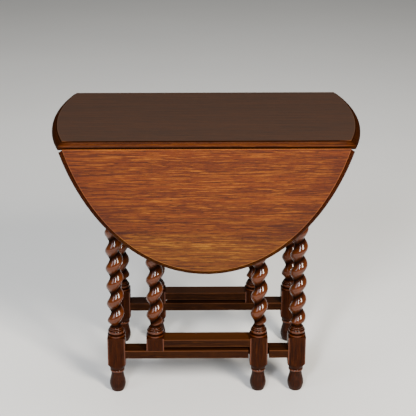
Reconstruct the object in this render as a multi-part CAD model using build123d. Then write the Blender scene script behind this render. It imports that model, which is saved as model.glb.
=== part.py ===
"""Oval gateleg table with two drop leaves, rule joints and single-twist turned legs.

Millimetres. The origin is on the floor under the middle of the top, +X runs along the top,
+Y points to the rear leaf and +Z is up. Both leaves hang and both gates are folded in.
The table looks the same after half a turn about Z, so the front side's leaf, hinges and gate
are the rear side's ones turned round.
"""

from build123d import *
import math
import os

# ---- Driving dimensions ----
TABLE_HEIGHT = 720.0
OPEN_HALF_LENGTH = 390.0      # oval of the opened top, along X
OPEN_HALF_DEPTH = 537.0       # oval of the opened top, along Y
BOARD_THICKNESS = 19.0

HINGE_LINE_Y = 200.0          # hinge pins of the rear leaf
QUIRK = 3.0                   # step above every ovolo
QUIRK_LEDGE = 0.5             # flat at the foot of that step on the curved edges
OVOLO_RADIUS = 13.0
RULE_JOINT_GAP = 0.4          # between the ovolo of the top and the cove of a leaf

LEG_SECTION = 46.0
LEG_X = 236.4
LEG_Y = 138.2
LOWER_BLOCK_BOTTOM = 79.0
LOWER_BLOCK_TOP = 163.0
UPPER_BLOCK_BOTTOM = 600.0
COLLAR_HEIGHT = 30.0
TOP_SHOULDER = 3.0            # height over which a block's corners are turned away
FOOT_SHOULDER = 9.0

TWIST_PITCH = 50.0
TWIST_OFFSET = 5.3            # how far the round strand lies off the leg's axis
TWIST_STRAND_RADIUS = 17.0
NECK_RADIUS = TWIST_STRAND_RADIUS - TWIST_OFFSET - 0.1    # just inside the strand's end
TWIST_ANGLES = {              # where the strand lies at the foot of each twist, degrees from +X
    "leg_front_left": 104.0,
    "leg_front_right": -156.0,
    "leg_rear_left": -65.0,
    "leg_rear_right": 65.0,
    "gate_leg": 151.0,
    "gate_post": 166.0,
}

STRETCHER_BOTTOM = 102.6
STRETCHER_TOP = 125.3
RAIL_DEPTH = 43.7             # stretchers and gate rails, across Y
APRON_BOTTOM = 626.0
APRON_THICKNESS = 22.0

GATE_POST_X = 134.5           # rear gate: post at +X, leg at -X
GATE_LEG_X = -136.5
GATE_RAIL_HEIGHT = 21.5
GATE_LOWER_RAIL_BOTTOM = 136.1
GATE_UPPER_RAIL_BOTTOM = 585.0
GATE_BLOCK_BOTTOM = 575.0     # upper blocks of the gate's post and leg
GATE_BLOCK_TOP = 624.0
GATE_LEG_LIFT = 0.5           # the gate's foot swings just clear of the floor
GATE_LEG_DROP = 1.0           # the gate leg's top swings just under the leaf
POST_FOOT_GAP = 1.2
HALVING_HALF_WIDTH = 27.0     # notches that the gate leg folds into
HALVING_GAP = 1.1             # above and below the stretcher, inside the gate leg's notch
HALVING_FACE = 0.5            # the notch faces stand this far either side of the leg's axis

PIVOT_RADIUS = 6.0
PIVOT_DEPTH = 16.0
PIVOT_CLEARANCE = 0.08

TENON_LENGTH = 17.0
RAIL_TENON_DEPTH = 30.0
RAIL_TENON_HEIGHT = 10.0
APRON_TENON_THICKNESS = 10.0
APRON_TENON_MARGIN = 9.0

HINGE_X = 230.0
HINGE_WIDTH = 30.0
KNUCKLE_RADIUS = 3.0
KNUCKLE_GAP = 0.4
MIDDLE_KNUCKLE_WIDTH = 10.0
HINGE_PIN_RADIUS = 1.5
HINGE_PIN_CLEARANCE = 0.06
FLAP_THICKNESS = 2.0
TOP_FLAP_LENGTH = 28.0
LEAF_FLAP_LENGTH = 54.0
HINGE_RELIEF = 0.5            # room round the leaf's flap and knuckle in the top

SCREW_SHANK_RADIUS = 1.75
SCREW_HEAD_RADIUS = 3.5
SCREW_HEAD_DEPTH = 1.75
HINGE_SCREW_LENGTH = 12.0
TOP_FLAP_SCREWS = ((-9.0, 18.0), (9.0, 18.0))                     # along X, away from the pin
LEAF_FLAP_SCREWS = ((-9.0, 26.0), (9.0, 26.0), (0.0, 44.0))

FIXING_BLOCK = (60.0, 25.0, 30.0)
FIXING_BLOCK_X = 60.0
FIXING_SCREW_LENGTH = 42.0

STOP_BLOCK = (20.0, 40.0, 12.0)
STOP_GAP = 0.5
STOP_SCREW_LENGTH = 24.0

PAST = 1.0                    # every cutter reaches this far past what it cuts

# ---- Derived dimensions ----
BOARD_BOTTOM = TABLE_HEIGHT - BOARD_THICKNESS
PIN_Z = TABLE_HEIGHT - QUIRK - OVOLO_RADIUS
PIN_DEPTH = PIN_Z - BOARD_BOTTOM
HALF_LEG = LEG_SECTION / 2
TWIST_BOTTOM = LOWER_BLOCK_TOP + COLLAR_HEIGHT
POST_BOTTOM = STRETCHER_TOP + POST_FOOT_GAP
GATE_LEG_TOP = BOARD_BOTTOM - GATE_LEG_DROP
NOTCH_FACE_Y = LEG_Y + HALVING_FACE

parts = {}


def box(x_range, y_range, z_range):
    """A box from its lowest and highest value along each axis."""
    sizes = [high - low for low, high in (x_range, y_range, z_range)]
    centre = [(high + low) / 2 for low, high in (x_range, y_range, z_range)]
    return Pos(*centre) * Box(*sizes)


def as_drawn(shape):
    """The rear side's pieces stay as they are drawn."""
    return shape


def to_front(shape):
    """The same shape on the front side: half a turn about Z."""
    return Rot(0, 0, 180) * shape


SIDES = (("rear", as_drawn), ("front", to_front))


def turned(profile):
    """A turned shape from a closed outline in the XZ plane."""
    with BuildPart() as solid:
        with BuildSketch(Plane.XZ):
            with BuildLine():
                profile()
            make_face()
        revolve(axis=Axis.Z)
    return solid.part


def foot_outline():
    """Pear-shaped foot: a full belly low down, a slim neck, a ring and a cup under the block."""
    base = 16.2
    belly, belly_z = 21.3, 21.0
    neck, neck_z = 16.3, 53.5
    ring, ring_bottom, ring_top = 19.0, 57.0, 64.0
    cup = 22.5
    leaning_out = (0.5, 1)
    upright = (0, 1)
    Polyline((0, LOWER_BLOCK_BOTTOM), (0, 0), (base, 0))
    Spline((base, 0), (belly, belly_z), (neck, neck_z), tangents=(leaning_out, upright))
    Polyline((neck, neck_z), (ring, ring_bottom), (ring, ring_top), (cup, LOWER_BLOCK_BOTTOM),
             (0, LOWER_BLOCK_BOTTOM))


def collar_outline():
    """Turned collar above a block, measured up from it: it steps in from fillet to neck."""
    fillet_radius, fillet_top = 22.6, 4.0
    bead_root, bead_crest = 19.8, 21.3
    bead_bottom, bead_middle, bead_top = 8.0, 12.5, 17.0
    ring_radius, ring_top = 18.4, 21.0
    cap_radius, cap_top = 16.3, 25.0
    Polyline((0, COLLAR_HEIGHT), (0, 0), (fillet_radius, 0), (fillet_radius, fillet_top),
             (bead_root, fillet_top), (bead_root, bead_bottom))
    ThreePointArc((bead_root, bead_bottom), (bead_crest, bead_middle), (bead_root, bead_top))
    Polyline((bead_root, bead_top), (ring_radius, bead_top), (ring_radius, ring_top),
             (cap_radius, ring_top), (cap_radius, cap_top), (NECK_RADIUS, cap_top),
             (NECK_RADIUS, COLLAR_HEIGHT), (0, COLLAR_HEIGHT))


def block(bottom, top, bottom_shoulder, top_shoulder):
    """A square block whose corners are turned away at each end that meets round work."""
    corner = HALF_LEG * math.sqrt(2)

    def envelope():
        points = [(0, bottom), (corner + PAST, bottom), (corner + PAST, top), (0, top), (0, bottom)]
        if bottom_shoulder:
            points[1:2] = [(HALF_LEG, bottom), (corner, bottom + bottom_shoulder)]
        if top_shoulder:
            points[-3:-2] = [(corner, top - top_shoulder), (HALF_LEG, top)]
        Polyline(*points)

    square = box((-HALF_LEG, HALF_LEG), (-HALF_LEG, HALF_LEG), (bottom, top))
    return square & turned(envelope)


def twist(bottom, top, angle):
    """A round strand wound about the leg's axis as a right-hand single twist."""
    rise = top - bottom
    lean = math.radians(angle)
    section = Pos(TWIST_OFFSET * math.cos(lean), TWIST_OFFSET * math.sin(lean), bottom) \
        * Circle(TWIST_STRAND_RADIUS)
    turn = 360 * rise / TWIST_PITCH
    return Solid.extrude_linear_with_rotation(section.face(), (0, 0, bottom), (0, 0, rise), turn)


def spindle(lower_bottom, upper_bottom, upper_top, angle):
    """Block, collar, twist, collar and block on the leg's axis, with no foot."""
    has_foot = lower_bottom == LOWER_BLOCK_BOTTOM
    twist_top = upper_bottom - COLLAR_HEIGHT
    lower_block = block(lower_bottom, LOWER_BLOCK_TOP, FOOT_SHOULDER if has_foot else 0, TOP_SHOULDER)
    upper_block = block(upper_bottom, upper_top, TOP_SHOULDER, 0)
    collar = turned(collar_outline)
    lower_collar = Pos(0, 0, LOWER_BLOCK_TOP) * collar
    upper_collar = Pos(0, 0, upper_bottom) * Rot(180, 0, 0) * collar
    return lower_block + lower_collar + twist(TWIST_BOTTOM, twist_top, angle) + upper_collar + upper_block


def rail_tenon(centre_z):
    """A rail's tenon on the +X side of x = 0, centred on the leg line."""
    return box((0, TENON_LENGTH),
               (LEG_Y - RAIL_TENON_DEPTH / 2, LEG_Y + RAIL_TENON_DEPTH / 2),
               (centre_z - RAIL_TENON_HEIGHT / 2, centre_z + RAIL_TENON_HEIGHT / 2))


def tenoned_rail(x_range, y_range, z_range, tenon):
    """A rail between two uprights with the same tenon at both ends."""
    low, high = x_range
    return box(x_range, y_range, z_range) + Pos(high, 0, 0) * tenon \
        + Pos(low - TENON_LENGTH, 0, 0) * tenon


def pivot_pin(centre_z, clearance):
    """A round dowel on the gate's pivot axis."""
    return Pos(GATE_POST_X, LEG_Y, centre_z) * Cylinder(PIVOT_RADIUS + clearance, PIVOT_DEPTH * 2)


def screw(length):
    """A countersunk screw whose head is flush with z = 0 and which points to +Z."""
    head = Cone(SCREW_HEAD_RADIUS, SCREW_SHANK_RADIUS, SCREW_HEAD_DEPTH,
                align=(Align.CENTER, Align.CENTER, Align.MIN))
    shank = Cylinder(SCREW_SHANK_RADIUS, length, align=(Align.CENTER, Align.CENTER, Align.MIN))
    return head + shank


# ---- Top and leaves ----
def moulded_oval():
    """The whole opened top as one oval slab with a quirk and ovolo round its upper edge."""
    outline = Ellipse(OPEN_HALF_LENGTH, OPEN_HALF_DEPTH)
    slab = extrude(Pos(0, 0, BOARD_BOTTOM) * outline, BOARD_THICKNESS - QUIRK)
    slab = fillet(slab.edges().group_by(Axis.Z)[-1], OVOLO_RADIUS)
    inset = OVOLO_RADIUS + QUIRK_LEDGE
    field = Ellipse(OPEN_HALF_LENGTH - inset, OPEN_HALF_DEPTH - inset)
    return slab + extrude(Pos(0, 0, TABLE_HEIGHT - QUIRK) * field, QUIRK)


def rule_joint_prism(draw_section):
    """A section in the YZ plane, carried along the whole length of the top."""
    with BuildPart() as prism:
        with BuildSketch(Plane.YZ):
            with BuildLine():
                draw_section()
            make_face()
        extrude(amount=OPEN_HALF_LENGTH + PAST, both=True)
    return prism.part


def rule_joint_arc(side, radius, start_y):
    """The arc about the pin on one side, from the underside up to a height over start_y."""
    low_y = math.sqrt(radius ** 2 - PIN_DEPTH ** 2)
    rise = math.sqrt(radius ** 2 - start_y ** 2)
    middle = radius * math.sqrt(0.5)
    points = [(low_y, -PIN_DEPTH), (middle, middle), (start_y, rise)]
    return [(side * (HINGE_LINE_Y + y), PIN_Z + z) for y, z in points]


def top_section():
    """Fixed board: flat on top, an ovolo about each hinge line."""
    rear = rule_joint_arc(1, OVOLO_RADIUS, 0)
    front = rule_joint_arc(-1, OVOLO_RADIUS, 0)
    ThreePointArc(*rear)
    Polyline(rear[2], (HINGE_LINE_Y, TABLE_HEIGHT), (-HINGE_LINE_Y, TABLE_HEIGHT), front[2])
    ThreePointArc(*front)
    Line(front[0], rear[0])


def leaf_section():
    """Rear leaf, opened: a cove about the hinge line under a thin lip."""
    cove = rule_joint_arc(1, OVOLO_RADIUS + RULE_JOINT_GAP, RULE_JOINT_GAP)
    outside = OPEN_HALF_DEPTH + PAST
    ThreePointArc(*cove)
    Polyline(cove[2], (cove[2][0], TABLE_HEIGHT), (outside, TABLE_HEIGHT),
             (outside, BOARD_BOTTOM), cove[0])


def hanging(shape):
    """An opened rear leaf's piece, turned down a quarter turn about the hinge line."""
    return Pos(0, HINGE_LINE_Y, PIN_Z) * Rot(-90, 0, 0) * Pos(0, -HINGE_LINE_Y, -PIN_Z) * shape


# ---- Hinges, on the rear hinge line with the leaf opened ----
def knuckle(x_range, bore_radius):
    """One barrel of the hinge, bored for the pin."""
    length = x_range[1] - x_range[0]
    place = Pos(sum(x_range) / 2, HINGE_LINE_Y, PIN_Z) * Rot(0, 90, 0)
    return place * Cylinder(KNUCKLE_RADIUS, length) - place * Cylinder(bore_radius, length)


def flap(x_ranges, length, side):
    """A flap let in flush with the underside; it is full width once clear of the barrel."""
    half = HINGE_WIDTH / 2
    clear = KNUCKLE_RADIUS + KNUCKLE_GAP
    z_range = (BOARD_BOTTOM, BOARD_BOTTOM + FLAP_THICKNESS)
    y_ends = sorted((HINGE_LINE_Y + side * clear, HINGE_LINE_Y + side * length))
    plate = box((-half, half), y_ends, z_range)
    for x_range in x_ranges:
        plate += box(x_range, sorted((HINGE_LINE_Y, HINGE_LINE_Y + side * clear)), z_range)
    return plate


def hinge_top_flap():
    """Short flap with the two outer barrels."""
    half = HINGE_WIDTH / 2
    inner = MIDDLE_KNUCKLE_WIDTH / 2 + KNUCKLE_GAP
    ranges = ((-half, -inner), (inner, half))
    bore = Pos(0, HINGE_LINE_Y, PIN_Z) * Rot(0, 90, 0) * Cylinder(HINGE_PIN_RADIUS, HINGE_WIDTH)
    plate = flap(ranges, TOP_FLAP_LENGTH, -1) - bore
    for x_range in ranges:
        plate += knuckle(x_range, HINGE_PIN_RADIUS)
    return plate - placed_screws(TOP_FLAP_SCREWS, -1, 0)


def hinge_leaf_flap():
    """Long flap with the middle barrel, which turns on the pin."""
    half = MIDDLE_KNUCKLE_WIDTH / 2
    bore_radius = HINGE_PIN_RADIUS + HINGE_PIN_CLEARANCE
    bore = Pos(0, HINGE_LINE_Y, PIN_Z) * Rot(0, 90, 0) * Cylinder(bore_radius, HINGE_WIDTH)
    plate = flap(((-half, half),), LEAF_FLAP_LENGTH, 1) - bore
    plate += knuckle((-half, half), bore_radius)
    return plate - placed_screws(LEAF_FLAP_SCREWS, 1, 0)


def hinge_pin():
    """Steel pin through the three barrels."""
    return Pos(0, HINGE_LINE_Y, PIN_Z) * Rot(0, 90, 0) * Cylinder(HINGE_PIN_RADIUS, HINGE_WIDTH)


def placed_screws(places, side, hinge_x):
    """A flap's screws, heads flush with the underside."""
    screws = [Pos(hinge_x + x, HINGE_LINE_Y + side * away, BOARD_BOTTOM) * screw(HINGE_SCREW_LENGTH)
              for x, away in places]
    return Compound(children=screws)


def top_hinge_recess():
    """Room in the top for the short flap, the barrel and the leaf's flap when it is open."""
    half = HINGE_WIDTH / 2
    wide = half + HINGE_RELIEF
    barrel = KNUCKLE_RADIUS + HINGE_RELIEF
    let_in = box((-half, half), (HINGE_LINE_Y - TOP_FLAP_LENGTH, HINGE_LINE_Y),
                 (BOARD_BOTTOM, BOARD_BOTTOM + FLAP_THICKNESS))
    groove = box((-wide, wide), (HINGE_LINE_Y - barrel, HINGE_LINE_Y + barrel),
                 (BOARD_BOTTOM, PIN_Z + barrel))
    crossing = box((-wide, wide), (HINGE_LINE_Y, HINGE_LINE_Y + OVOLO_RADIUS + PAST),
                   (BOARD_BOTTOM, BOARD_BOTTOM + FLAP_THICKNESS + HINGE_RELIEF))
    return let_in + groove + crossing


def leaf_hinge_recess():
    """The long flap's bed in the leaf."""
    half = HINGE_WIDTH / 2
    return box((-half, half), (HINGE_LINE_Y, HINGE_LINE_Y + LEAF_FLAP_LENGTH),
               (BOARD_BOTTOM, BOARD_BOTTOM + FLAP_THICKNESS))


def hinge_places(y_name):
    """Name and X, before any half turn, of the two hinges on one leaf."""
    left_x = HINGE_X if y_name == "front" else -HINGE_X
    return (("left", left_x), ("right", -left_x))


# ---- Gate stop on the rear leaf, with the leaf opened ----
def stop_centre():
    """The opened gate leg's far face rests against the stop."""
    reach = GATE_POST_X - GATE_LEG_X
    x = GATE_POST_X + HALF_LEG + STOP_GAP + STOP_BLOCK[0] / 2
    return x, LEG_Y + reach


def gate_stop():
    """Small block under the leaf that stops the gate at a right angle."""
    x, y = stop_centre()
    return Pos(x, y, BOARD_BOTTOM - STOP_BLOCK[2] / 2) * Box(*STOP_BLOCK)


def gate_stop_screws():
    """Two screws up through the stop into the leaf."""
    x, y = stop_centre()
    spread = STOP_BLOCK[1] / 4
    return Compound(children=[Pos(x, y + shift, BOARD_BOTTOM - STOP_BLOCK[2]) * screw(STOP_SCREW_LENGTH)
                              for shift in (-spread, spread)])


# ---- Frame ----
def frame_leg(x_side, y_side, angle):
    """A corner leg with mortises for the stretcher and for both aprons."""
    leg = spindle(LOWER_BLOCK_BOTTOM, UPPER_BLOCK_BOTTOM, BOARD_BOTTOM, angle) + turned(foot_outline)
    inner = -HALF_LEG
    half_depth = RAIL_TENON_DEPTH / 2
    half_thick = APRON_TENON_THICKNESS / 2
    middle = (STRETCHER_BOTTOM + STRETCHER_TOP) / 2
    apron_z = (APRON_BOTTOM + APRON_TENON_MARGIN, BOARD_BOTTOM - APRON_TENON_MARGIN)
    along = sorted((x_side * inner, x_side * (inner + TENON_LENGTH)))
    across = sorted((y_side * inner, y_side * (inner + TENON_LENGTH)))
    leg -= box(along, (-half_depth, half_depth),
               (middle - RAIL_TENON_HEIGHT / 2, middle + RAIL_TENON_HEIGHT / 2))
    leg -= box(along, (-half_thick, half_thick), apron_z)
    leg -= box((-half_thick, half_thick), across, apron_z)
    return Pos(x_side * LEG_X, y_side * LEG_Y, 0) * leg


def stretcher():
    """Rear stretcher, halved on its outer face where the gate leg folds in."""
    inside = LEG_X - HALF_LEG
    y_range = (LEG_Y - RAIL_DEPTH / 2, LEG_Y + RAIL_DEPTH / 2)
    rail = tenoned_rail((-inside, inside), y_range, (STRETCHER_BOTTOM, STRETCHER_TOP),
                        rail_tenon((STRETCHER_BOTTOM + STRETCHER_TOP) / 2))
    notch = box((GATE_LEG_X - HALVING_HALF_WIDTH, GATE_LEG_X + HALVING_HALF_WIDTH),
                (LEG_Y, LEG_Y + RAIL_DEPTH), (STRETCHER_BOTTOM - PAST, STRETCHER_TOP + PAST))
    return rail - notch - pivot_pin(STRETCHER_TOP, PIVOT_CLEARANCE)


def long_apron():
    """Rear apron, housed on its outer face for the gate leg and drilled for the pivot."""
    inside = LEG_X - HALF_LEG
    half = APRON_THICKNESS / 2
    half_tenon = APRON_TENON_THICKNESS / 2
    tenon = box((0, TENON_LENGTH), (LEG_Y - half_tenon, LEG_Y + half_tenon),
                (APRON_BOTTOM + APRON_TENON_MARGIN, BOARD_BOTTOM - APRON_TENON_MARGIN))
    apron = tenoned_rail((-inside, inside), (LEG_Y - half, LEG_Y + half),
                         (APRON_BOTTOM, BOARD_BOTTOM), tenon)
    housing = box((GATE_LEG_X - HALVING_HALF_WIDTH, GATE_LEG_X + HALVING_HALF_WIDTH),
                  (LEG_Y, LEG_Y + APRON_THICKNESS), (APRON_BOTTOM - PAST, BOARD_BOTTOM + PAST))
    return apron - housing - pivot_pin(APRON_BOTTOM, PIVOT_CLEARANCE)


def end_apron(x_side):
    """Apron across one end."""
    inside = LEG_Y - HALF_LEG
    half = APRON_THICKNESS / 2
    half_tenon = APRON_TENON_THICKNESS / 2
    reach = inside + TENON_LENGTH
    board = box((-half, half), (-inside, inside), (APRON_BOTTOM, BOARD_BOTTOM))
    tenons = box((-half_tenon, half_tenon), (-reach, reach),
                 (APRON_BOTTOM + APRON_TENON_MARGIN, BOARD_BOTTOM - APRON_TENON_MARGIN))
    return Pos(x_side * LEG_X, 0, 0) * (board + tenons)


def fixing_block_centre(x_side):
    """Middle of the underside of a block glued inside the rear apron."""
    return x_side * FIXING_BLOCK_X, LEG_Y - APRON_THICKNESS / 2 - FIXING_BLOCK[1] / 2, \
        BOARD_BOTTOM - FIXING_BLOCK[2]


def fixing_block(x_side):
    """Block glued inside the rear apron; one screw through it holds the top down."""
    x, y, z = fixing_block_centre(x_side)
    return Pos(x, y, z + FIXING_BLOCK[2] / 2) * Box(*FIXING_BLOCK)


def fixing_screw(x_side):
    """Screw up through a fixing block into the top."""
    return Pos(*fixing_block_centre(x_side)) * screw(FIXING_SCREW_LENGTH)


# ---- Rear gate ----
def gate_rail(bottom):
    """Rail between the gate's post and its leg."""
    x_range = (GATE_LEG_X + HALF_LEG, GATE_POST_X - HALF_LEG)
    y_range = (LEG_Y - RAIL_DEPTH / 2, LEG_Y + RAIL_DEPTH / 2)
    tenon = rail_tenon(bottom + GATE_RAIL_HEIGHT / 2)
    return tenoned_rail(x_range, y_range, (bottom, bottom + GATE_RAIL_HEIGHT), tenon)


def gate_rails():
    """Both rails, to cut their mortises."""
    return gate_rail(GATE_LOWER_RAIL_BOTTOM) + gate_rail(GATE_UPPER_RAIL_BOTTOM)


def gate_post():
    """Pivot post: stands over the stretcher and turns on a dowel at each end."""
    post = spindle(POST_BOTTOM, GATE_BLOCK_BOTTOM, GATE_BLOCK_TOP, TWIST_ANGLES["gate_post"])
    post = Pos(GATE_POST_X, LEG_Y, 0) * post - gate_rails()
    return post - pivot_pin(STRETCHER_TOP, 0) - pivot_pin(APRON_BOTTOM, 0)


def gate_leg():
    """Gate leg, halved over the stretcher and thinned to a tongue beside the apron."""
    inner_half = (LEG_Y - LEG_SECTION, NOTCH_FACE_Y)
    x_range = (GATE_LEG_X - LEG_SECTION, GATE_LEG_X + LEG_SECTION)
    leg = spindle(LOWER_BLOCK_BOTTOM, GATE_BLOCK_BOTTOM, GATE_LEG_TOP, TWIST_ANGLES["gate_leg"])
    leg += turned(foot_outline)
    leg = Pos(GATE_LEG_X, LEG_Y, 0) * leg - gate_rails()
    leg -= box(x_range, inner_half, (STRETCHER_BOTTOM - HALVING_GAP, STRETCHER_TOP + HALVING_GAP))
    leg -= box(x_range, inner_half, (GATE_BLOCK_TOP, TABLE_HEIGHT))
    return leg - box(x_range, (0, TABLE_HEIGHT), (-PAST, GATE_LEG_LIFT))


# ---- Build every piece ----
def build_top():
    """The fixed board with its hinge recesses and screw holes."""
    board = moulded_oval() & rule_joint_prism(top_section)
    for y_name, turn in SIDES:
        for _, x in hinge_places(y_name):
            board -= turn(Pos(x, 0, 0) * top_hinge_recess())
            board -= turn(placed_screws(TOP_FLAP_SCREWS, -1, x))
        for x_side in (-1, 1):
            board -= turn(fixing_screw(x_side))
    parts["top_board"] = board


def build_frame():
    """Legs, aprons, stretchers and the blocks that hold the top."""
    for y_side, y_name in ((-1, "front"), (1, "rear")):
        for x_side, x_name in ((-1, "left"), (1, "right")):
            name = f"leg_{y_name}_{x_name}"
            parts[name] = frame_leg(x_side, y_side, TWIST_ANGLES[name])
    for x_side, x_name in ((-1, "left"), (1, "right")):
        parts[f"apron_{x_name}"] = end_apron(x_side)
    fixing_screws = []
    for y_name, turn in SIDES:
        parts[f"stretcher_{y_name}"] = turn(stretcher())
        parts[f"apron_{y_name}"] = turn(long_apron())
        for x_name, x in hinge_places(y_name):
            x_side = math.copysign(1, x)
            parts[f"fixing_block_{y_name}_{x_name}"] = turn(fixing_block(x_side) - fixing_screw(x_side))
            fixing_screws.append(turn(fixing_screw(x_side)))
    parts["fixing_screws"] = Compound(children=fixing_screws)


def build_leaf_side(y_name, turn):
    """One hanging leaf with its two hinges and its gate stop."""
    leaf = moulded_oval() & rule_joint_prism(leaf_section)
    leaf_screws = []
    top_screws = []
    for x_name, x in hinge_places(y_name):
        leaf -= Pos(x, 0, 0) * leaf_hinge_recess()
        leaf -= placed_screws(LEAF_FLAP_SCREWS, 1, x)
        parts[f"hinge_top_flap_{y_name}_{x_name}"] = turn(Pos(x, 0, 0) * hinge_top_flap())
        parts[f"hinge_leaf_flap_{y_name}_{x_name}"] = turn(hanging(Pos(x, 0, 0) * hinge_leaf_flap()))
        parts[f"hinge_pin_{y_name}_{x_name}"] = turn(Pos(x, 0, 0) * hinge_pin())
        leaf_screws += placed_screws(LEAF_FLAP_SCREWS, 1, x).solids()
        top_screws += placed_screws(TOP_FLAP_SCREWS, -1, x).solids()
    leaf -= gate_stop_screws()
    parts[f"leaf_{y_name}"] = turn(hanging(leaf))
    parts[f"gate_stop_{y_name}"] = turn(hanging(gate_stop() - gate_stop_screws()))
    parts[f"gate_stop_screws_{y_name}"] = turn(hanging(gate_stop_screws()))
    parts[f"hinge_leaf_screws_{y_name}"] = turn(hanging(Compound(children=leaf_screws)))
    parts[f"hinge_top_screws_{y_name}"] = turn(Compound(children=top_screws))


def build_gate(y_name, turn):
    """One gate: post, leg, two rails and the two dowels that it turns on."""
    parts[f"gate_post_{y_name}"] = turn(gate_post())
    parts[f"gate_leg_{y_name}"] = turn(gate_leg())
    parts[f"gate_rail_lower_{y_name}"] = turn(gate_rail(GATE_LOWER_RAIL_BOTTOM))
    parts[f"gate_rail_upper_{y_name}"] = turn(gate_rail(GATE_UPPER_RAIL_BOTTOM))
    parts[f"gate_pivot_lower_{y_name}"] = turn(pivot_pin(STRETCHER_TOP, 0))
    parts[f"gate_pivot_upper_{y_name}"] = turn(pivot_pin(APRON_BOTTOM, 0))


build_top()
build_frame()
for side_name, side_turn in SIDES:
    build_leaf_side(side_name, side_turn)
    build_gate(side_name, side_turn)

os.makedirs("parts", exist_ok=True)
for part_name, part_shape in parts.items():
    export_step(part_shape, f"parts/{part_name}.step")
print(len(parts), "nodes written")
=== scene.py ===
"""Looks of the oval gateleg table: turned oak uprights, rails, moulded boards and old polish.

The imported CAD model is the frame. Sizes here are in millimetres until a mesh is made, +X runs
along the top, +Y points to the rear leaf and the floor is z = 0.
"""

import math

import bpy
import numpy as np
from mathutils import Matrix, Vector


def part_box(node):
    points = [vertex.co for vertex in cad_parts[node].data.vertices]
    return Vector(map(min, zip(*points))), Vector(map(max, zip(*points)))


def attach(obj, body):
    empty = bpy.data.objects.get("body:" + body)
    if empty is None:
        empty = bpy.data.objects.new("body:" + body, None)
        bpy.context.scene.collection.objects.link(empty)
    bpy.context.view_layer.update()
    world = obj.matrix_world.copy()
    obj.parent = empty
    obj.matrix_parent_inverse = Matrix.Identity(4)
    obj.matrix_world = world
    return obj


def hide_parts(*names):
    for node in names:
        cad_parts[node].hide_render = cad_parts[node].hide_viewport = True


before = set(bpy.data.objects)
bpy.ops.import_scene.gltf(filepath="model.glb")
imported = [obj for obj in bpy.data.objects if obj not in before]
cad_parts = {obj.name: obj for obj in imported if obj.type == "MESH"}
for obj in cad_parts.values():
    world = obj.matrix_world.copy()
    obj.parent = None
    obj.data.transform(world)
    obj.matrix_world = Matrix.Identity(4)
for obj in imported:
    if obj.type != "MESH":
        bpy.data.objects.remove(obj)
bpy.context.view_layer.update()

MM = 0.001
X, Y, Z = 0, 1, 2

# ---- Uprights ----
HALF_LEG = 23.0                   # the square stock before turning
STOCK_CORNER = 1.3                # softened arris of that stock
CLEAR_OF_STOCK = 40.0             # the lathe's outline where it leaves the block square
CORNER_REACH = 32.6               # from the axis to an arris
LOWER_BLOCK = (79.0, 163.0)
FRAME_BLOCK_BOTTOM = 600.0        # upper block of a corner leg
GATE_BLOCK_BOTTOM = 575.0         # upper block of a gate's leg and post
COLLAR_HEIGHT = 30.0
FOOT_SHOULDER = 9.0
FOOT_WEAR = 0.08                  # shoes keep a dull shine on the feet
COLLAR_SHOULDER = 3.0
TWIST_PITCH = 50.0
TWIST_OFFSET = 5.3                # how far the strand lies off the axis
STRAND_RADIUS = 17.0
NECK_RADIUS = 12.4                # where the strand runs out into the collar
TWIST_RUN_OUT = 13.0
TWIST_STEP = 1.6
LOBE_FULLNESS = 0.7               # power that fills the lobes out; 1 leaves a plain round strand
LEAST_RUN = 0.2                   # least share of the strand that a crest is reckoned against
TWIST_ANGLES = {                  # where each strand starts above its lower collar, from +X
    "leg_front_left": 104.0,
    "leg_front_right": -156.0,
    "leg_rear_left": -65.0,
    "leg_rear_right": 65.0,
    "gate_leg_rear": 151.0,
    "gate_post_rear": 166.0,
    "gate_leg_front": 151.0 - 180.0,
    "gate_post_front": 166.0 - 180.0,
}
HALVING = (101.5, 126.4)          # notch of the gate leg, over the stretcher
HALVING_FACE = 0.5                # the notch stops this far short of the leg's axis
TONGUE_BOTTOM = 624.0             # the gate leg is half as thick above this
STEP_RUN = 0.3                    # a step in a bar or a leg is this long, so no face is folded flat

# ---- Rails ----
TENON = 17.0
RAIL_TENON = (30.0, 10.0)         # deep, high
APRON_TENON = (10.0, 57.0)
NOTCH_HALF_WIDTH = 27.0
ARRIS = 1.5
GATE_RAIL_TOP_LIGHT = 0.8               # painted light on the upper faces of the gates' rails, in the rubbed tone
FACES_UP = 0.99                   # least upward share of an outward direction on such a face

# ---- Boards ----
OPEN_HALF_LENGTH = 390.0
OPEN_HALF_DEPTH = 537.0
TABLE_HEIGHT = 720.0
BOARD_BOTTOM = 701.0
PIN_Y, PIN_Z = 200.0, 704.0
OVOLO = 13.0
COVE = 13.4
QUIRK_LEDGE = 0.5
BOARD_ARRIS = 0.6
OVOLO_SHADE = -0.8               # painted shade on the ovolo round the oval, given in the dark waxed tone
TOP_JOINT_WEAR = -0.8             # wear on the top's arris along the joint
LEAF_JOINT_RUB_AND_HIGHLIGHT = 1.0             # and on the leaf's: rubbed, and a painted highlight on the hanging leaf's top edge
JOINT_SHADE_TURN = 0.3                  # radians from the pin's level that painted shade covers at the foot of the ovolo, along the joint
RUBBED_WIDTH = 2.5                # how far the rubbed edge reaches over the flat
ARC_POINTS = 96
LINE_POINTS = 24
FLAP_THICKNESS = 2.0
FLAP_HALF_WIDTH = 15.0
TOP_FLAP_REACH = 28.0             # from the hinge line, under the fixed board
LEAF_FLAP_REACH = 54.0            # from the hinge line, under the leaf
KNUCKLE_RADIUS = 3.0
HINGE_RELIEF = 0.5

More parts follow.
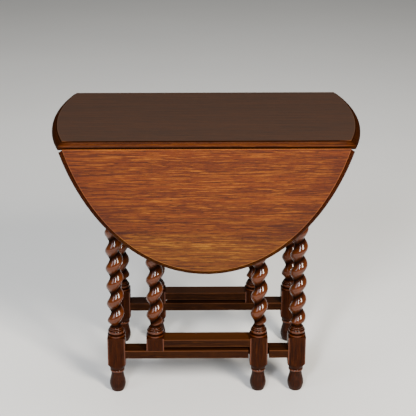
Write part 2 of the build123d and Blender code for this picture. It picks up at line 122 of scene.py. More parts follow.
# ---- Tones of the boards ----
TOP_REFLECTION_GREY = 0.68                 # how far the flat of the top is taken to grey-brown: a painted reflection of the pale room
REFLECTION_STARTS_BELOW = 0.7               # below the flat
REFLECTION_FULL_BELOW = 0.1
LEAF_TONES_FROM = 370.0           # just above the tip of the hanging oval
LEAF_TONES_TO = 700.0             # just below the joint
LEAF_TONES = (                    # share of the way up between them, and the tone there
    (0.02, "#ffffff"),
    (0.3, "#fff6ee"),
    (0.42, "#d3b6a2"),
    (0.5, "#e2c2ac"),
    (0.62, "#f0cdb8"),
    (0.98, "#efc9b4"),
)
EDGE_DARKENING_FROM = 0.83           # share of the way out to the oval's edge
EDGE_DARKENING = 0.6                 # how strongly the leaf darkens towards the oval edge

# ---- Camera and room ----
CAMERA_PLACE = (-0.0276, -2.9769, 1.6765)
CAMERA_PITCH = math.radians(90 - 22.07)
CAMERA_YAW = -0.011
CAMERA_LENS = 105.6
CAMERA_SHIFT_Y = -0.0049


# ---- Meshes ----
def ease(t):
    """Smooth step from 0 to 1: 3 t^2 - 2 t^3, held flat outside that range."""
    t = np.clip(t, 0, 1)
    return t * t * (3 - 2 * t)


def ring_pattern(face_points, corner_points=5):
    """Corner place, outward direction and rub of each point round a rounded rectangle.

    A point lies at place * (half size - corner radius) + outward * corner radius.
    """
    spots = np.linspace(-0.88, 0.88, face_points)
    turn = np.linspace(0, math.pi / 2, corner_points)
    places, outwards, rubs = [], [], []
    for quarter in np.arange(4) * math.pi / 2:
        face = np.array([math.cos(quarter), math.sin(quarter)])
        along = np.array([-face[1], face[0]])
        places += [face + along * spots[:, None], np.tile(face + along, (corner_points, 1))]
        outwards += [np.tile(face, (face_points, 1)),
                     np.column_stack([np.cos(quarter + turn), np.sin(quarter + turn)])]
        rubs += [np.zeros(face_points), np.ones(corner_points)]
    return np.concatenate(places), np.concatenate(outwards), np.concatenate(rubs)


def shell(name, rings, wear_and_painted_light):
    """Closed skin over rings of points, one ring a station, with a flat cap at each end.

    Each point's value runs from -1, where wax lies, to 1, where the wood is rubbed. On the boards'
    mouldings the low end is painted shade; on the collars' fillets, the leaf's joint arris and the
    tops of the gates' rails the high end is painted light.
    """
    stations, around, _ = rings.shape
    index = np.arange(stations * around).reshape(stations, around)
    beside = np.roll(index, -1, axis=1)
    sides = np.stack([index[:-1], beside[:-1], beside[1:], index[1:]], axis=-1).reshape(-1, 4)
    faces = sides.tolist() + [index[0, ::-1].tolist(), index[-1].tolist()]
    mesh = bpy.data.meshes.new(name)
    mesh.from_pydata((rings.reshape(-1, 3) * MM).tolist(), [], faces)
    mesh.attributes.new("wear_and_painted_light", "FLOAT", "POINT").data.foreach_set("value", wear_and_painted_light.ravel())
    mesh.shade_smooth()
    mesh.set_sharp_from_angle(angle=math.radians(35))
    piece = bpy.data.objects.new(name, mesh)
    bpy.context.scene.collection.objects.link(piece)
    return piece


def stand_for(piece, node, body, material):
    """Puts a finished piece in a CAD node's place: gives it its finish, sets it on its body and hides the
    node.
    """
    piece.data.materials.clear()
    piece.data.materials.append(material)
    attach(piece, body)
    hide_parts(node)


def size_of(node):
    """A node's lowest and highest corner in millimetres."""
    low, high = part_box(node)
    return np.array(low) / MM, np.array(high) / MM


# ---- Turned work: each outline is rows of height, radius and wear ----
def bead(low, high, root, crest, steps=11):
    """Half an ellipse standing out of the root radius, or sunk in it where crest is smaller.

    Wax lies at the root of a bead and at the bottom of a hollow.
    """
    turn = np.linspace(0, math.pi, steps)
    lift = np.sin(turn)
    wear_and_painted_light = 1.9 * lift - 0.95 if crest > root else -lift
    return np.column_stack([low + (high - low) * (1 - np.cos(turn)) / 2, root + (crest - root) * lift,
                            wear_and_painted_light])


def fillet(low, high, radius, soft=0.5):
    """A flat band whose two edges are eased over. Its middle takes the rubbed tone, partly rubbing and
    partly a painted highlight.
    """
    return np.array([(low, radius - soft, -0.6), (low + soft, radius, 1),
                     (high - soft, radius, 1), (high, radius - soft, -0.6)])


def unworn(height, radius):
    """Rows of an outline that is neither rubbed nor waxed up."""
    return np.column_stack(np.broadcast_arrays(height, radius, 0.0))


def collar():
    """Fillet, hollow, bead, ring, cap and neck, stepping in as they rise from the block."""
    return np.concatenate([
        fillet(0.1, 3.9, 22.6),
        bead(4.1, 7.8, 20.2, 19.2, 7),
        bead(8.0, 17.0, 19.2, 21.5),
        bead(17.3, 20.9, 17.4, 18.5, 7),
        bead(21.2, 24.8, 15.2, 16.5, 7),
        bead(25.0, 34.0, 14.6, NECK_RADIUS, 9)[:5],
    ])


def shoulder(end, height):
    """Quarter ellipse from the round of the stock out past its arrises, going into the block."""
    turn = np.linspace(0, math.pi / 2, 8)
    return unworn(end + height * (1 - np.cos(turn)),
                  HALF_LEG + (CORNER_REACH - HALF_LEG) * np.sin(turn))


def foot(bottom):
    """Pear-shaped foot: a sine rises from pad to belly, a cosine falls to the neck, then a ring.

    Above the ring a quarter of a cosine cups out to the round of the block.
    """
    pad, belly, neck, groove = 16.2, 21.4, 16.3, 17.4
    belly_z, neck_z, ring_z, groove_z = 21.0, 53.5, 57.0, 64.5
    t = np.linspace(0, 1, 14)
    rise = unworn(1.0 + (belly_z - 1.0) * t, pad + (belly - pad) * np.sin(t * math.pi / 2))
    fall = unworn(belly_z + (neck_z - belly_z) * t,
                  neck + (belly - neck) * (1 + np.cos(t * math.pi)) / 2)
    rise[:, 2] = fall[:, 2] = FOOT_WEAR
    cup = unworn(groove_z + (LOWER_BLOCK[0] - groove_z) * t,
                 groove + (HALF_LEG - groove) * np.sin(t * math.pi / 2))
    return np.concatenate([
        [(bottom, pad - 1.5, 0)],
        rise,
        fall[1:],
        bead(ring_z, groove_z - 0.2, neck + 0.6, 19.1, 9),
        cup[:-1],
    ])


def squared(*heights):
    """Rows where the lathe leaves the stock square."""
    return unworn(np.array(heights), CLEAR_OF_STOCK)


def lower_work(kind, bottom):
    """Outline from the bottom of an upright to the foot of its twist."""
    low, high = LOWER_BLOCK
    head = [shoulder(high, -COLLAR_SHOULDER)[::-1], collar() + (high, 0, 0)]
    if kind == "post":
        return np.concatenate([squared(bottom, bottom + 1)] + head)
    start = [foot(bottom), shoulder(low, FOOT_SHOULDER)]
    if kind == "gate_leg":
        start.append(squared(HALVING[0] - STEP_RUN, *HALVING, HALVING[1] + STEP_RUN))
    return np.concatenate(start + head)


def upper_work(kind, block_bottom, top):
    """Outline from the head of the twist to the top of the upright."""
    rows = [collar()[::-1] * (-1, 1, 1) + (block_bottom, 0, 0), shoulder(block_bottom, COLLAR_SHOULDER)]
    if kind == "gate_leg":
        rows.append(squared(TONGUE_BOTTOM - STEP_RUN, TONGUE_BOTTOM))
    return np.concatenate(rows + [squared(top)])


def strand(heights, directions, start, low, high):
    """Radius of a round strand wound about the axis, and how near each point is to its crest.

    Seen from the axis, a circle of radius R whose centre lies e away in the direction a is
    e cos(d - a) + sqrt(R^2 - e^2 sin^2(d - a)) away in the direction d; a turns once a pitch.
    e and R shrink towards the collars. The carver fills the lobe out and cuts the groove
    narrow: the share of the way from groove to crest is raised to a power under one.
    Where the strand runs out, its crest is reckoned against the part that is left of it.
    """
    run = ease(np.minimum(heights - low, high - heights) / TWIST_RUN_OUT)
    offset = (TWIST_OFFSET * run)[:, None]
    radius = (NECK_RADIUS + (STRAND_RADIUS - NECK_RADIUS) * run)[:, None]
    lean = directions - (math.radians(start) + 2 * math.pi * (heights - low) / TWIST_PITCH)[:, None]
    reach = offset * np.cos(lean) + np.sqrt(radius ** 2 - (offset * np.sin(lean)) ** 2)
    crest = np.clip((reach - radius + offset) / (2 * TWIST_OFFSET), 0, 1)
    fuller = radius - offset + 2 * TWIST_OFFSET * crest ** LOBE_FULLNESS
    surface = np.minimum(np.maximum(reach, fuller), radius + offset)
    return surface, crest / np.maximum(run[:, None], LEAST_RUN)


def upright(node, kind, body, block_bottom, material):
    """Square stock that the lathe takes down to its outline: each point is the nearer of the two.

    The twist's wear is 1 - 2 (1 - crest)^4: waxed in the groove, rubbed over most of the lobe.
    """
    low, high = size_of(node)
    places, outwards, rubs = ring_pattern(21)
    stock = places * (HALF_LEG - STOCK_CORNER) + outwards * STOCK_CORNER
    reach = np.linalg.norm(stock, axis=1)
    directions = np.arctan2(stock[:, 1], stock[:, 0])
    lower = lower_work(kind, low[Z])
    upper = upper_work(kind, block_bottom, high[Z])
    twist_low, twist_high = LOWER_BLOCK[1] + COLLAR_HEIGHT, block_bottom - COLLAR_HEIGHT
    heights = np.arange(twist_low, twist_high + TWIST_STEP / 2, TWIST_STEP)
    twist, crest = strand(heights, directions, TWIST_ANGLES[node], twist_low, twist_high)
    wide = np.ones((1, len(stock)))
    radius = np.concatenate([lower[:, 1:2] * wide, twist, upper[:, 1:2] * wide])
    wear_and_painted_light = np.concatenate([lower[:, 2:] * wide, 1 - 2 * (1 - crest) ** 4, upper[:, 2:] * wide])
    wear_and_painted_light = np.where(radius > reach, rubs * wide, wear_and_painted_light)
    height = np.concatenate([lower[:, 0], heights, upper[:, 0]])
    plan = stock * np.minimum(1, radius / reach)[:, :, None]
    if kind == "gate_leg":
        outer = math.copysign(1, low[Y])
        halved = (height >= HALVING[0]) & (height <= HALVING[1]) | (height >= TONGUE_BOTTOM)
        thin = HALVING_FACE + (outer * plan[halved, :, 1] + HALF_LEG) \
            * (HALF_LEG - HALVING_FACE) / (2 * HALF_LEG)
        plan[halved, :, 1] = outer * thin
    axis = (low + high)[:2] / 2
    rings = np.dstack([plan + axis, height[:, None] * wide])
    piece = shell(f"{node}_turned", rings, wear_and_painted_light)
    stand_for(piece, node, body, material)


# ---- Rails ----
def bar(node, axis, rows, body, material, arris=ARRIS):
    """A rounded rectangle carried along a straight line.

    Each row is a place along the axis and the low and high of the section on the next two axes.
    The top faces of the gates' rails are painted lighter, in the rubbed tone: painted light.
    """
    places, outwards, rubs = ring_pattern(4)
    rows = np.array(rows)
    low, high = rows[:, [1, 3]], rows[:, [2, 4]]
    middle, half = (low + high) / 2, (high - low) / 2
    corner = np.minimum(arris, half.min(axis=1) / 2)[:, None, None]
    section = middle[:, None] + places * (half[:, None] - corner) + outwards * corner
    rings = np.empty((len(rows), len(places), 3))
    rings[:, :, axis] = rows[:, :1]
    rings[:, :, (axis + 1) % 3] = section[:, :, 0]
    rings[:, :, (axis + 2) % 3] = section[:, :, 1]
    # painted light: the upper faces of the gates' rails are lifted towards the rubbed tone
    on_top = outwards[:, (Z - axis - 1) % 3] > FACES_UP
    wear_and_painted_light = np.maximum(rubs, GATE_RAIL_TOP_LIGHT * on_top * body.startswith("gate"))
    piece = shell(f"{node}_planed", rings, np.tile(wear_and_painted_light, (len(rows), 1)))
    stand_for(piece, node, body, material)


def rail_rows(node, axis, tenon):
    """Rows of a rail with its two tenons; tenon is its size on the next two axes."""
    low, high = size_of(node)
    first, second = (axis + 1) % 3, (axis + 2) % 3
    middle = (low + high) / 2
    full = [low[first], high[first], low[second], high[second]]
    stub = [middle[first] - tenon[0] / 2, middle[first] + tenon[0] / 2,
            middle[second] - tenon[1] / 2, middle[second] + tenon[1] / 2]
    ends = (low[axis], low[axis] + TENON, high[axis] - TENON, high[axis])
    return [[ends[0]] + stub, [ends[1]] + stub, [ends[1]] + full,
            [ends[2]] + full, [ends[2]] + stub, [ends[3]] + stub]


def notched(rows, centre, outer):
    """The same rail with its outer half cut away where the gate leg folds in."""
    full = rows[2][1:]
    half = list(full)
    half[1 if outer > 0 else 0] = (full[0] + full[1]) / 2
    start, stop = centre - NOTCH_HALF_WIDTH, centre + NOTCH_HALF_WIDTH
    cut = [[start - STEP_RUN] + full, [start] + half, [stop] + half, [stop + STEP_RUN] + full]
    return rows[:3] + cut + rows[3:]


def rails(material):
    """Stretchers, aprons and both gates' rails."""
    for side, outer in (("front", -1), ("rear", 1)):
        low, high = size_of(f"gate_leg_{side}")
        gate_leg_x = (low[X] + high[X]) / 2
        for node, tenon in ((f"stretcher_{side}", RAIL_TENON), (f"apron_{side}", APRON_TENON)):
            rows = notched(rail_rows(node, X, tenon), gate_leg_x, outer)
            bar(node, X, rows, "frame", material)
        for level in ("lower", "upper"):
            node = f"gate_rail_{level}_{side}"
            bar(node, X, rail_rows(node, X, RAIL_TENON), f"gate_{side}", material)


def end_aprons(material):
    """The two short aprons, whose grain runs across the table."""
    for node in ("apron_left", "apron_right"):
        rows = rail_rows(node, Y, APRON_TENON[::-1])
        bar(node, Y, rows, "frame", material)


# ---- Boards: each is a stack of level slices through the opened oval ----
def edge_rows(joint_arris):
    """Inset, height, pull, wear on the oval and wear on the joint of each slice.

    From below: arris, ovolo, quirk and arris again. The ovolo is a quarter circle:
    inset = r (1 - cos a), height = r sin a above the pin. Round the oval the lower arris, the ovolo
    and the quirk take the dark waxed tone as painted shade. Along the joint the board below the
    pin, the foot of the ovolo and the quirk take it as painted shade too; the rest of the ovolo
    there keeps the plain tone.
    """
    turn = np.linspace(0, math.pi / 2, 12)[1:-1]
    # Along the joint the foot of the ovolo takes the dark waxed tone: painted shade in the crease of the
    # joint.
    ovolo = np.column_stack([OVOLO * (1 - np.cos(turn)), PIN_Z + OVOLO * np.sin(turn), turn * 0,
                             np.full(len(turn), OVOLO_SHADE), np.where(turn < JOINT_SHADE_TURN, -1, 0)])
    quirk = PIN_Z + OVOLO
    inset = OVOLO + QUIRK_LEDGE
    return np.concatenate([
        # painted shade: the dark waxed tone on the lower arris and, further on, in the quirk
        [(0, BOARD_BOTTOM, BOARD_ARRIS, -1, -1), (0, BOARD_BOTTOM + BOARD_ARRIS, 0, -1, -1),
         (0, PIN_Z, 0, OVOLO_SHADE, -1)],
        ovolo,
        [(OVOLO, quirk, 0, -1, -1), (inset, quirk + 0.1, 0, -1, -1),
         # on the leaf this arris along the joint is rubbed and also carries a painted highlight
         (inset, TABLE_HEIGHT - BOARD_ARRIS, 0, 1, joint_arris),
         (inset, TABLE_HEIGHT, BOARD_ARRIS, 1, joint_arris),
         (inset, TABLE_HEIGHT, RUBBED_WIDTH, 0, 0)],
    ])


def oval_slice(inset, arcs):
    """Stretches of the oval, drawn in by the inset, joined by straight lines.

    Gives the points, and 1 where a point is on the oval or 0 where it is on a line.
    """
    half = np.array([OPEN_HALF_LENGTH - inset, OPEN_HALF_DEPTH - inset])
    curves = []
    for start, stop in arcs(half[1]):
        turn = np.linspace(start, stop, ARC_POINTS)
        curves.append(np.column_stack([np.cos(turn), np.sin(turn)]) * half)
    outline, on_oval = [], []
    for curve, following in zip(curves, curves[1:] + curves[:1]):
        share = np.linspace(0, 1, LINE_POINTS)[1:-1, None]
        outline += [curve, curve[-1] + (following[0] - curve[-1]) * share]
        on_oval += [np.ones(len(curve)), np.zeros(len(share))]
    return np.concatenate(outline), np.concatenate(on_oval)


def board(name, side_y, arcs_to, joint_arris):
    """Stacks the slices of one board.

    side_y gives the straight edge at a height and pull, arcs_to the stretches of the oval, and
    joint_arris is the wear on the arris of the straight edge.
    """
    rings, wears = [], []
    for inset, height, pull, oval_wear, joint_wear in edge_rows(joint_arris):
        cut = side_y(height, pull)
        outline, on_oval = oval_slice(inset + pull,
                                      lambda half_depth: arcs_to(math.asin(cut / half_depth)))
        rings.append(np.column_stack([outline, np.full(len(outline), height)]))
        wears.append(np.where(on_oval, oval_wear, joint_wear))
    return shell(name, np.array(rings), np.array(wears))


def joint_reach(radius, height):
    """How far out of the hinge line an arc about the pin stands at a height."""
    return math.sqrt(max(radius ** 2 - (height - PIN_Z) ** 2, 0))


def top_side(height, pull):
    """Straight edge of the fixed board: an ovolo about the pin."""
    return PIN_Y + joint_reach(OVOLO, height) - pull


def leaf_side(height, pull):
    """Straight edge of an opened leaf: a cove about the pin under a thin lip."""
    return PIN_Y + max(joint_reach(COVE, height), COVE - OVOLO) + pull


def cutter(low, high):
    """A plain box that is only ever cut out of a board."""
    x, y, z = np.array([low, high]).T
    ring = np.array([(x[0], y[0]), (x[1], y[0]), (x[1], y[1]), (x[0], y[1])])
    rings = np.array([np.column_stack([ring, np.full(4, height)]) for height in z])
    return shell("recess", rings, np.zeros((2, 4)))


def cut_out(piece, boxes):
    """Takes each box out of a board and keeps the result as the board's own mesh."""
    for low, high in boxes:
        tool = cutter(low, high)
        cut = piece.modifiers.new("recess", "BOOLEAN")
        cut.object = tool
        cut.solver = "EXACT"
        shaped = piece.evaluated_get(bpy.context.evaluated_depsgraph_get())
        mesh = bpy.data.meshes.new_from_object(shaped)
        piece.modifiers.clear()
        piece.data = mesh
        bpy.data.objects.remove(tool)


def hinge_beds(x, side):
    """Beds of both flaps and the groove for the barrel at one hinge, cut from below."""
    below = BOARD_BOTTOM - 1
    wide = FLAP_HALF_WIDTH + HINGE_RELIEF
    barrel = KNUCKLE_RADIUS + HINGE_RELIEF
    spans = (
        (FLAP_HALF_WIDTH, TOP_FLAP_REACH, 0.0, BOARD_BOTTOM + FLAP_THICKNESS),
        (wide, barrel, -barrel, PIN_Z + barrel),
        (wide, 0.0, -OVOLO - 1, BOARD_BOTTOM + FLAP_THICKNESS + HINGE_RELIEF),
    )
    for half_width, inward, outward, top in spans:
        y_ends = sorted((side * (PIN_Y - inward), side * (PIN_Y - outward)))
        yield (x - half_width, y_ends[0], below), (x + half_width, y_ends[1], top)


def top_board(material):
    """The fixed board, between its two rule joints, with the hinges let in."""
    piece = board("top_board_moulded", top_side,
                  lambda lean: ((-lean, lean), (math.pi - lean, math.pi + lean)), TOP_JOINT_WEAR)
    for side, outer in (("front", -1), ("rear", 1)):
        for end in ("left", "right"):
            low, high = size_of(f"hinge_pin_{side}_{end}")
            cut_out(piece, hinge_beds((low[X] + high[X]) / 2, outer))
    stand_for(piece, "top_board", "frame", material)


def leaf(side, material):
    """An opened rear leaf, turned down about the hinge line and round to its own side."""
    piece = board(f"leaf_{side}_moulded", leaf_side, lambda lean: ((lean, math.pi - lean),),
                  LEAF_JOINT_RUB_AND_HIGHLIGHT)
    for end in ("left", "right"):
        low, high = size_of(f"hinge_pin_{side}_{end}")
        x = (low[X] + high[X]) / 2 * (1 if side == "rear" else -1)
        low_corner = (x - FLAP_HALF_WIDTH, PIN_Y, BOARD_BOTTOM - 1)
        high_corner = (x + FLAP_HALF_WIDTH, PIN_Y + LEAF_FLAP_REACH, BOARD_BOTTOM + FLAP_THICKNESS)
        cut_out(piece, [(low_corner, high_corner)])
    pin = Matrix.Translation(Vector((0, PIN_Y, PIN_Z)) * MM)
    half_turn = math.pi if side == "front" else 0
    piece.data.transform(Matrix.Rotation(half_turn, 4, "Z") @ pin
                         @ Matrix.Rotation(-math.pi / 2, 4, "X") @ pin.inverted())
    stand_for(piece, f"leaf_{side}", f"leaf_{side}", material)


# ---- Materials ----
def linear(colour):
    """sRGB hex to linear RGBA."""
    parts = [int(colour[i:i + 2], 16) / 255 for i in (1, 3, 5)]
    return tuple(p / 12.92 if p <= 0.04045 else ((p + 0.055) / 1.055) ** 2.4 for p in parts) + (1.0,)


def add(tree, kind, inputs=None, **settings):
    """Adds a node; each input is a value or the output socket that it is linked from."""
    node = tree.nodes.new(kind)
    for name, value in settings.items():
        setattr(node, name, value)
    for socket, value in (inputs or {}).items():
        if isinstance(value, bpy.types.NodeSocket):
            tree.links.new(value, node.inputs[socket])
        else:
            node.inputs[socket].default_value = value
    return node


def drawn_out(tree, grain, along, across, detail, seed):
    """Noise drawn out along the grain, from the length and width of its marks in millimetres."""
    scale = [1 / (across * MM)] * 3
    scale[grain] = 1 / (along * MM)
    place = add(tree, "ShaderNodeTexCoord").outputs["Object"]
    moved = add(tree, "ShaderNodeMapping", {"Vector": place, "Location": (seed, seed * 2, seed * 3),
                                            "Scale": scale})
    noise = add(tree, "ShaderNodeTexNoise", {"Vector": moved.outputs[0], "Scale": 1.0,
                                             "Detail": detail, "Roughness": 0.6, "Distortion": 0.25})
    return noise.outputs[0]


def between(tree, value, low, high, start=0.0, stop=1.0):
    """The value's way from low to high, as start to stop."""
    ranged = add(tree, "ShaderNodeMapRange", {"Value": value, "From Min": low, "From Max": high,
                                              "To Min": start, "To Max": stop})
    return ranged.outputs[0]


def oak(name, grain, shades, gloss, streak=(150.0, 3.4), contrast=1.0):
    """Oak under old polish.

    shades are the pore, streak, ground, fleck, rubbed and waxed colours. gloss is the
    roughness and shine of the wood, then the weight and roughness of the polish on it,
    which is thick only where hands and cloths rub.
    streak is the length and width of a streak. Pores of a tenth of a millimetre are drawn
    ten times as wide, so that they show.
    """
    pore, dark, ground, fleck, rubbed, waxed = [linear(shade) for shade in shades]
    material = bpy.data.materials.new(name)
    material.use_nodes = True
    tree = material.node_tree
    shader = tree.nodes["Principled BSDF"]
    bands = drawn_out(tree, grain, 900, 34, 2, 3.1)
    streaks = drawn_out(tree, grain, *streak, 5, 7.7)
    flecks = drawn_out(tree, grain, 50, 1.7, 3, 13.3)
    pores = drawn_out(tree, grain, 16, 1.0, 2, 21.9)
    half = 0.09 / contrast
    streaked = add(tree, "ShaderNodeMix", {0: between(tree, streaks, 0.48 - half, 0.48 + half),
                                           6: dark, 7: ground}, data_type="RGBA")
    banded = add(tree, "ShaderNodeMix", {0: between(tree, bands, 0.42, 0.62, 0.0, 0.5),
                                         6: streaked.outputs[2], 7: dark}, data_type="RGBA")
    flecked = add(tree, "ShaderNodeMix", {0: between(tree, flecks, 0.52, 0.64, 0.0, 0.75),
                                          6: banded.outputs[2], 7: fleck}, data_type="RGBA")
    pored = add(tree, "ShaderNodeMix", {0: between(tree, pores, 0.56, 0.66, 0.0, 0.7),
                                        6: flecked.outputs[2], 7: pore}, data_type="RGBA")
    wear_and_painted_light = add(tree, "ShaderNodeAttribute", attribute_name="wear_and_painted_light").outputs["Fac"]
    patchy = add(tree, "ShaderNodeMath", {0: wear_and_painted_light, 1: between(tree, bands, 0.3, 0.7, 0.5, 1.0)},
                 operation="MULTIPLY").outputs[0]
    # The rubbed tone is real rubbing, and painted light on the collars' fillets, the leaf's joint arris
    # and the gates' rail tops; the waxed tone is real wax, and painted shade on the boards' mouldings.
    rub_and_highlight = add(tree, "ShaderNodeMix", {0: between(tree, patchy, 0.1, 0.9, 0.0, 0.8),
                                       6: pored.outputs[2], 7: rubbed}, data_type="RGBA")
    wax_and_shade = add(tree, "ShaderNodeMix", {0: between(tree, wear_and_painted_light, -0.45, -0.95, 0.0, 0.9),
                                          6: rub_and_highlight.outputs[2], 7: waxed}, data_type="RGBA")
    tree.links.new(wax_and_shade.outputs[2], shader.inputs["Base Color"])
    wood_roughness, shine, coat, coat_roughness = gloss
    tree.links.new(between(tree, streaks, 0.3, 0.7, wood_roughness + 0.08, wood_roughness - 0.05),
                   shader.inputs["Roughness"])
    tree.links.new(between(tree, wear_and_painted_light, -0.7, 0.0, shine / 8, shine), shader.inputs["Specular IOR Level"])
    tree.links.new(between(tree, wear_and_painted_light, 0.0, 0.5, coat / 16, coat), shader.inputs["Coat Weight"])
    shader.inputs["Coat Roughness"].default_value = coat_roughness
    relief = add(tree, "ShaderNodeMath", {0: streaks, 1: between(tree, pores, 0.56, 0.66)},
                 operation="SUBTRACT").outputs[0]
    bump = add(tree, "ShaderNodeBump", {"Height": relief, "Strength": 0.25, "Distance": 0.0004})
    tree.links.new(bump.outputs[0], shader.inputs["Normal"])
    return material


def painted_grey_reflection(material):
    """Adds a painted reflection to the top: above the arris the flat is taken most of the way to
    grey-brown.
    """
    tree = material.node_tree
    shader = tree.nodes["Principled BSDF"]
    colour = shader.inputs["Base Color"].links[0].from_socket
    place = add(tree, "ShaderNodeTexCoord").outputs["Object"]
    height = add(tree, "ShaderNodeSeparateXYZ", {0: place}).outputs[2]
    flat = between(tree, height, (TABLE_HEIGHT - REFLECTION_STARTS_BELOW) * MM, (TABLE_HEIGHT - REFLECTION_FULL_BELOW) * MM)
    # painted reflection: the grey-brown that the flat is mixed towards
    reflected_grey = add(tree, "ShaderNodeMix", {0: TOP_REFLECTION_GREY, 6: colour, 7: linear("#312821")},
                 data_type="RGBA")
    mixed = add(tree, "ShaderNodeMix", {0: flat, 6: colour, 7: reflected_grey.outputs[2]}, data_type="RGBA")
    tree.links.new(mixed.outputs[2], shader.inputs["Base Color"])
    return material


def figured(material):
    """Adds the board's own tones to the leaf: red-brown above, a dark belt, then golden below.

    The leaf is also darkened towards the oval edge. The way out is the length of the vector from the
    middle of the opened table, measured in half widths of the oval.
    """
    tree = material.node_tree
    shader = tree.nodes["Principled BSDF"]
    colour = shader.inputs["Base Color"].links[0].from_socket
    place = add(tree, "ShaderNodeTexCoord").outputs["Object"]
    height = add(tree, "ShaderNodeSeparateXYZ", {0: place}).outputs[2]
    drift = drawn_out(tree, X, 500, 60, 2, 4.4)
    level = add(tree, "ShaderNodeMath", {0: height, 1: between(tree, drift, 0.3, 0.7, -0.05, 0.05)},
                operation="ADD").outputs[0]
    tones = add(tree, "ShaderNodeValToRGB",
                {0: between(tree, level, LEAF_TONES_FROM * MM, LEAF_TONES_TO * MM)})
    ramp = tones.color_ramp
    for spot, shade in LEAF_TONES:
        stop = ramp.elements.new(spot)
        stop.color = linear(shade)
    ramp.elements.remove(ramp.elements[0])
    ramp.elements.remove(ramp.elements[-1])
    toned = add(tree, "ShaderNodeMix", {0: 1.0, 6: colour, 7: tones.outputs[0]}, data_type="RGBA",
                blend_type="MULTIPLY")
    half_length, half_depth = OPEN_HALF_LENGTH * MM, OPEN_HALF_DEPTH * MM
    oval = add(tree, "ShaderNodeMapping", {
        "Vector": place, "Location": (0, 0, (PIN_Y + PIN_Z) * MM / half_depth),
        "Scale": (1 / half_length, 0, -1 / half_depth)})
    outward = add(tree, "ShaderNodeVectorMath", {0: oval.outputs[0]}, operation="LENGTH").outputs["Value"]
    edged = add(tree, "ShaderNodeMix", {0: between(tree, outward, EDGE_DARKENING_FROM, 1.0, 0.0, EDGE_DARKENING),
                                        6: toned.outputs[2], 7: linear("#b08068")},
                data_type="RGBA", blend_type="MULTIPLY")
    tree.links.new(edged.outputs[2], shader.inputs["Base Color"])
    return material


def metal(name, bright, dull, roughness):
    """Old metal: a bright ground under tarnish that gathers in patches a few millimetres across."""
    material = bpy.data.materials.new(name)
    material.use_nodes = True
    tree = material.node_tree
    shader = tree.nodes["Principled BSDF"]
    tarnish = drawn_out(tree, X, 6, 5, 4, 5.5)
    mixed = add(tree, "ShaderNodeMix", {0: between(tree, tarnish, 0.35, 0.65), 6: linear(bright),
                                        7: linear(dull)}, data_type="RGBA")
    tree.links.new(mixed.outputs[2], shader.inputs["Base Color"])
    tree.links.new(between(tree, tarnish, 0.3, 0.7, roughness - 0.1, roughness + 0.15),
                   shader.inputs["Roughness"])
    shader.inputs["Metallic"].default_value = 1.0
    return material


def dress(nodes, material):
    """Gives CAD nodes that keep their own shape a finish."""
    for node in nodes:
        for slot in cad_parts[node].material_slots:
            slot.material = material


# ---- Room ----
def pale_floor():
    """A wide matt floor with the faintest mottling."""
    mesh = bpy.data.meshes.new("floor")
    reach = 14.0
    mesh.from_pydata([(-reach, -reach, 0), (reach, -reach, 0), (reach, reach, 0), (-reach, reach, 0)],
                     [], [(0, 1, 2, 3)])
    floor = bpy.data.objects.new("floor", mesh)
    bpy.context.scene.collection.objects.link(floor)
    material = bpy.data.materials.new("pale_plaster_floor")
    material.use_nodes = True
    tree = material.node_tree
    shader = tree.nodes["Principled BSDF"]
    mottle = drawn_out(tree, X, 900, 700, 3, 1.0)
    mixed = add(tree, "ShaderNodeMix", {0: mottle, 6: linear("#e0e0dd"), 7: linear("#e8e8e5")},
                data_type="RGBA")
    tree.links.new(mixed.outputs[2], shader.inputs["Base Color"])
    shader.inputs["Roughness"].default_value = 0.9
    mesh.materials.append(material)


def soft_light(name, place, target, width, height, power, tint):
    """A rectangular soft box aimed at a point."""
    lamp = bpy.data.lights.new(name, "AREA")
    lamp.shape = "RECTANGLE"
    lamp.size = width
    lamp.size_y = height
    lamp.energy = power
    lamp.color = linear(tint)[:3]
    light = bpy.data.objects.new(name, lamp)
    light.location = place
    light.rotation_euler = (Vector(target) - Vector(place)).to_track_quat("-Z", "Y").to_euler()
    bpy.context.scene.collection.objects.link(light)


def studio():
    """Camera, soft boxes and the light of the room."""
    camera = bpy.data.objects.new("camera", bpy.data.cameras.new("camera"))
    camera.data.lens = CAMERA_LENS
    camera.data.shift_y = CAMERA_SHIFT_Y
    camera.location = CAMERA_PLACE
    camera.rotation_euler = (CAMERA_PITCH, 0, CAMERA_YAW)
    bpy.context.scene.collection.objects.link(camera)
    bpy.context.scene.camera = camera
    for level in (2.1, 2.95):
        soft_light(f"window_right_{level}", (1.75, -2.7, level), (0, 0, 0.35), 0.8, 0.7, 130, "#fff6ea")
        soft_light(f"window_left_{level}", (-0.75, -3.1, level), (0, 0, 0.35), 0.4, 0.7, 65, "#f8faff")
    soft_light("wide_left", (-2.6, -2.0, 1.8), (0, 0, 0.35), 1.4, 1.4, 40, "#f4f6ff")
    soft_light("overhead", (0, 1.2, 3.4), (0, 0, 0.3), 2.5, 2.5, 70, "#ffffff")
    world = bpy.data.worlds.new("room")
    bpy.context.scene.world = world
    world.use_nodes = True
    background = world.node_tree.nodes["Background"]
    background.inputs["Color"].default_value = linear("#d2d4d4")
    background.inputs["Strength"].default_value = 0.22


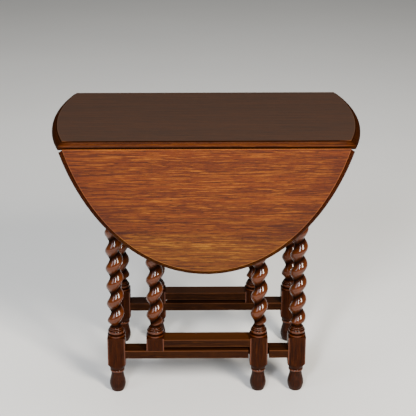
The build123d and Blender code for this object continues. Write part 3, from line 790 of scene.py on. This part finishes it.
# ---- The table ----
def finishes():
    """Every finish on the table, by name."""
    rail_shades = ("#0b0300", "#1c0801", "#2b1202", "#3a1d04", "#482407", "#090200")
    return {
        # Oak, planed and waxed; the moulding keeps its red-brown polish and the flat carries a painted
        # grey reflection.
        "top": painted_grey_reflection(oak("waxed_oak_top", X,
                          ("#130501", "#2e1103", "#461f04", "#592d07", "#683b0d", "#0a0301"),
                          (0.5, 0.05, 0.2, 0.3), (260.0, 3.0), 1.2)),
        # Oak, planed and polished; the red-brown polish is thin, so the figure shows through.
        "leaf": figured(oak("polished_oak_leaf", X,
                            ("#160601", "#401c04", "#603308", "#8a5b14", "#94621c", "#110501"),
                            (0.45, 0.18, 0.1, 0.3), (170.0, 1.7), 2.2)),
        # Oak, turned and carved, then polished to a shine; dark polish lies in the hollows.
        "turned": oak("polished_oak_turning", Z,
                      ("#0b0300", "#1b0701", "#2b0e01", "#391802", "#582705", "#070200"),
                      (0.42, 0.04, 0.66, 0.07), (90.0, 3.4)),
        # Oak, planed and waxed; feet have rubbed the arrises.
        "rail": oak("waxed_oak_rail", X, rail_shades, (0.5, 0.06, 0.1, 0.3)),
        "end_rail": oak("waxed_oak_end_rail", Y, rail_shades, (0.5, 0.06, 0.1, 0.3)),
        # Oak offcuts, sawn and never polished, gone brown with age.
        "block": oak("bare_oak_block", X,
                     ("#3a2616", "#7a5a38", "#967044", "#a98353", "#a98353", "#4a331f"),
                     (0.7, 0.3, 0.0, 0.5)),
        # Beech dowel, turned and greasy from use.
        "dowel": oak("beech_dowel", Z,
                     ("#6b4a2c", "#a37c50", "#b98f60", "#c49c6c", "#c49c6c", "#5a3d24"),
                     (0.5, 0.4, 0.0, 0.4), (30.0, 2.0)),
        # Cast brass, filed flat, dulled by a century of air.
        "brass": metal("aged_brass", "#b08d4a", "#5c4420", 0.38),
        # Drawn steel wire, oiled and darkened.
        "pin": metal("dark_steel_pin", "#77736c", "#3a3632", 0.35),
        # Cut steel screws with a little rust on their heads.
        "screw": metal("rusted_steel_screw", "#6b665f", "#4a2c1a", 0.45),
    }


def build():
    """Every piece of the table in its finish."""
    finish = finishes()
    for side in ("front", "rear"):
        for end in ("left", "right"):
            upright(f"leg_{side}_{end}", "leg", "frame", FRAME_BLOCK_BOTTOM, finish["turned"])
        upright(f"gate_leg_{side}", "gate_leg", f"gate_{side}", GATE_BLOCK_BOTTOM, finish["turned"])
        upright(f"gate_post_{side}", "post", f"gate_{side}", GATE_BLOCK_BOTTOM, finish["turned"])
        leaf(side, finish["leaf"])
    rails(finish["rail"])
    end_aprons(finish["end_rail"])
    top_board(finish["top"])
    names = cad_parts
    dress([n for n in names if n.startswith(("fixing_block", "gate_stop")) and "screws" not in n],
          finish["block"])
    dress([n for n in names if n.startswith("gate_pivot")], finish["dowel"])
    dress([n for n in names if "_flap_" in n], finish["brass"])
    dress([n for n in names if n.startswith("hinge_pin")], finish["pin"])
    dress([n for n in names if "screws" in n], finish["screw"])


build()
pale_floor()
studio()
